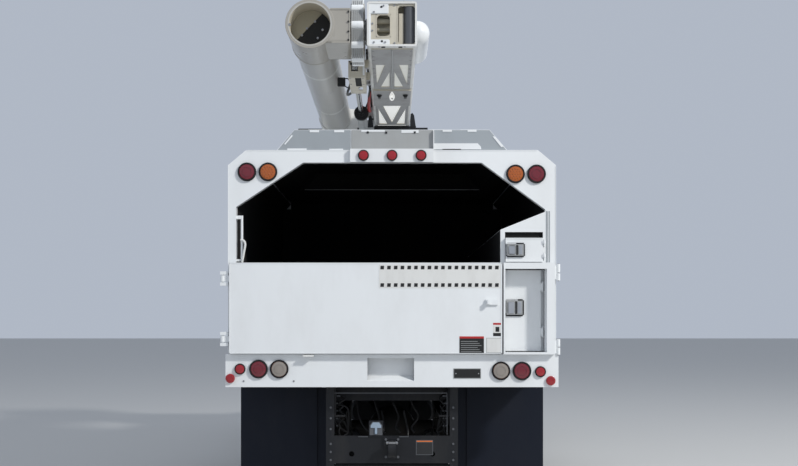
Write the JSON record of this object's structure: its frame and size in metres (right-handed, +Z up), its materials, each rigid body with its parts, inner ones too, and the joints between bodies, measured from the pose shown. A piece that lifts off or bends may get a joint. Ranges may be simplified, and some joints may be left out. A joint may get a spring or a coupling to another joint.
{
  "type": "bucket truck",
  "caption": "Tree-care bucket truck with conventional cab, chip box body with tailgate and tool tunnel, folding side-by-side boom and man bucket",
  "frame": {"origin": "middle of the bounding box on the floor under the wheels", "axes": "+X the truck's right-hand side, +Y forward, +Z up"},
  "size_m": [2.63, 8.285, 3.7846],
  "materials": {
    "white_paint": "gloss",
    "grey_paint": "satin",
    "beige_paint": "satin",
    "black_paint": "satin",
    "fibreglass": "gloss",
    "black_steel": "satin",
    "black_rubber": "matte",
    "tyre": "matte",
    "chrome": "polished",
    "rim_white": "gloss",
    "glass": "gloss",
    "red_lens": "gloss",
    "amber_lens": "gloss",
    "lamp_lens": "gloss",
    "trim": "matte",
    "aluminium": "satin",
    "iron": "matte"
  },
  "bodies": {
    "truck": {"chassis_frame": "black_steel", "front_axle": "black_steel", "rear_axle": "iron", "powertrain": "iron", "front_bumper": "black_paint", "fuel_tank": "aluminium", "step_box": "black_paint", "cab_shell": "white_paint", "cab_glass": "glass", "cab_interior": "trim", "body_floor": "black_paint", "body_walls": "white_paint", "body_roof": "white_paint", "rear_frame": "white_paint", "rear_sill": "white_paint", "tool_tunnel": "white_paint", "tail_lamps": "red_lens", "signal_lamps": "amber_lens", "mud_flaps": "black_rubber", "rear_hitch": "black_paint", "cross_boxes": "white_paint", "pedestal": "white_paint", "boom_rest": "black_paint"},
    "hood": {"hood": "white_paint", "grille": "trim", "headlamps": "lamp_lens"},
    "cab_door_left": {"door_left": "white_paint", "door_glass_left": "glass"},
    "cab_door_right": {"door_right": "white_paint", "door_glass_right": "glass"},
    "steer_knuckle_left": {"knuckle_left": "iron"},
    "steer_knuckle_right": {"knuckle_right": "iron"},
    "wheel_front_left": {"tyre_front_left": "tyre", "rim_front_left": "rim_white"},
    "wheel_front_right": {"tyre_front_right": "tyre", "rim_front_right": "rim_white"},
    "wheels_rear_left": {"tyres_rear_left": "tyre", "rims_rear_left": "rim_white"},
    "wheels_rear_right": {"tyres_rear_right": "tyre", "rims_rear_right": "rim_white"},
    "tailgate": {"tailgate": "white_paint"},
    "tunnel_door_upper": {"tunnel_door_upper": "grey_paint"},
    "tunnel_door_lower": {"tunnel_door_lower": "white_paint"},
    "cabinet_door_left": {"cabinet_door_left": "white_paint"},
    "cabinet_door_right": {"cabinet_door_right": "white_paint"},
    "turntable": {"turntable": "white_paint"},
    "lift_barrel": {"lift_barrel": "black_paint"},
    "lift_rod": {"lift_rod": "chrome"},
    "lower_boom": {"lower_boom": "white_paint", "boom_plates": "beige_paint", "boom_saddle": "black_paint", "boom_cover": "white_paint", "elbow_barrel": "grey_paint"},
    "elbow_rod": {"elbow_rod": "chrome"},
    "upper_boom": {"upper_tube": "fibreglass", "elbow_arm": "grey_paint", "tip_arm": "white_paint"},
    "level_sheave": {"level_sheave": "black_steel"},
    "bucket": {"bucket": "fibreglass"}
  },
  "joints": [
    {"name": "hood_tilt", "type": "hinge", "parent": "truck", "child": "hood", "pos_m": [0, 3.86, 0.7], "axis": [-1, 0, 0], "range_deg": [0, 65]},
    {"name": "cab_door_left_hinge", "type": "hinge", "parent": "truck", "child": "cab_door_left", "pos_m": [-1.065, 2.44, 1.5], "axis": [0, 0, -1], "range_deg": [0, 70]},
    {"name": "cab_door_right_hinge", "type": "hinge", "parent": "truck", "child": "cab_door_right", "pos_m": [1.065, 2.44, 1.5], "axis": [0, 0, 1], "range_deg": [0, 70]},
    {"name": "steer_left", "type": "hinge", "parent": "truck", "child": "steer_knuckle_left", "pos_m": [-0.85, 3.07, 0.5], "axis": [0, 0, 1], "range_deg": [-35, 35]},
    {"name": "steer_right", "type": "hinge", "parent": "truck", "child": "steer_knuckle_right", "pos_m": [0.85, 3.07, 0.5], "axis": [0, 0, 1], "range_deg": [-35, 35]},
    {"name": "wheel_front_left_spin", "type": "hinge", "parent": "steer_knuckle_left", "child": "wheel_front_left", "pos_m": [-1.01, 3.07, 0.525], "axis": [1, 0, 0], "continuous": true},
    {"name": "wheel_front_right_spin", "type": "hinge", "parent": "steer_knuckle_right", "child": "wheel_front_right", "pos_m": [1.01, 3.07, 0.525], "axis": [1, 0, 0], "continuous": true},
    {"name": "wheels_rear_left_spin", "type": "hinge", "parent": "truck", "child": "wheels_rear_left", "pos_m": [-0.905, -2.49, 0.525], "axis": [1, 0, 0], "continuous": true},
    {"name": "wheels_rear_right_spin", "type": "hinge", "parent": "truck", "child": "wheels_rear_right", "pos_m": [0.905, -2.49, 0.525], "axis": [1, 0, 0], "continuous": true},
    {"name": "tailgate_hinge", "type": "hinge", "parent": "truck", "child": "tailgate", "pos_m": [-1.235, -3.923, 1.53], "axis": [0, 0, -1], "range_deg": [0, 265]},
    {"name": "tunnel_door_upper_hinge", "type": "hinge", "parent": "truck", "child": "tunnel_door_upper", "pos_m": [1.112, -3.914, 1.96], "axis": [0, 0, 1], "range_deg": [0, 110]},
    {"name": "tunnel_door_lower_hinge", "type": "hinge", "parent": "truck", "child": "tunnel_door_lower", "pos_m": [1.106, -3.842, 1.52], "axis": [0, 0, 1], "range_deg": [0, 85]},
    {"name": "cabinet_door_left_hinge", "type": "hinge", "parent": "truck", "child": "cabinet_door_left", "pos_m": [-1.215, -0.184, 1.3], "axis": [0, 0, 1], "range_deg": [0, 100]},
    {"name": "cabinet_door_right_hinge", "type": "hinge", "parent": "truck", "child": "cabinet_door_right", "pos_m": [1.215, -0.184, 1.3], "axis": [0, 0, -1], "range_deg": [0, 100]},
    {"name": "boom_turn", "type": "hinge", "parent": "truck", "child": "turntable", "pos_m": [0, 0.57, 2.5], "axis": [0, 0, 1], "continuous": true},
    {"name": "lift_barrel_pivot", "type": "hinge", "parent": "turntable", "child": "lift_barrel", "pos_m": [0, 0.81, 2.66], "axis": [-1, 0, 0], "range_deg": [0, 48]},
    {"name": "lift_rod_slide", "type": "slide", "parent": "lift_barrel", "child": "lift_rod", "axis": [0, -0.7909, 0.612], "range_m": [0, 0.68323]},
    {"name": "boom_lift", "type": "hinge", "parent": "turntable", "child": "lower_boom", "pos_m": [0, 0.87, 3.5], "axis": [-1, 0, 0], "range_deg": [0, 90]},
    {"name": "elbow", "type": "hinge", "parent": "lower_boom", "child": "upper_boom", "pos_m": [0, -3.89, 3.555], "axis": [1, 0, 0], "range_deg": [0, 210]},
    {"name": "elbow_rod_slide", "type": "slide", "parent": "lower_boom", "child": "elbow_rod", "axis": [0, 1, 0], "range_m": [0, 0.752]},
    {"name": "bucket_level_sheave", "type": "hinge", "parent": "upper_boom", "child": "level_sheave", "pos_m": [-0.35, 0.81, 3.48], "axis": [1, 0, 0], "range_deg": [0, 90]},
    {"name": "bucket_level", "type": "hinge", "parent": "level_sheave", "child": "bucket", "pos_m": [-0.725, 0.81, 3.48], "axis": [-1, 0, 0], "range_deg": [0, 210]}
  ],
  "couplings": [
    {"joint": "steer_right", "follows": "steer_left", "ratio": 1},
    {"joint": "lift_barrel_pivot", "follows": "boom_lift", "ratio": 0.53327},
    {"joint": "lift_rod_slide", "follows": "boom_lift", "m_per_rad": 0.43464},
    {"joint": "bucket_level_sheave", "follows": "boom_lift", "ratio": 1},
    {"joint": "elbow_rod_slide", "follows": "elbow", "m_per_rad": 0.205},
    {"joint": "bucket_level", "follows": "elbow", "ratio": 1}
  ]
}
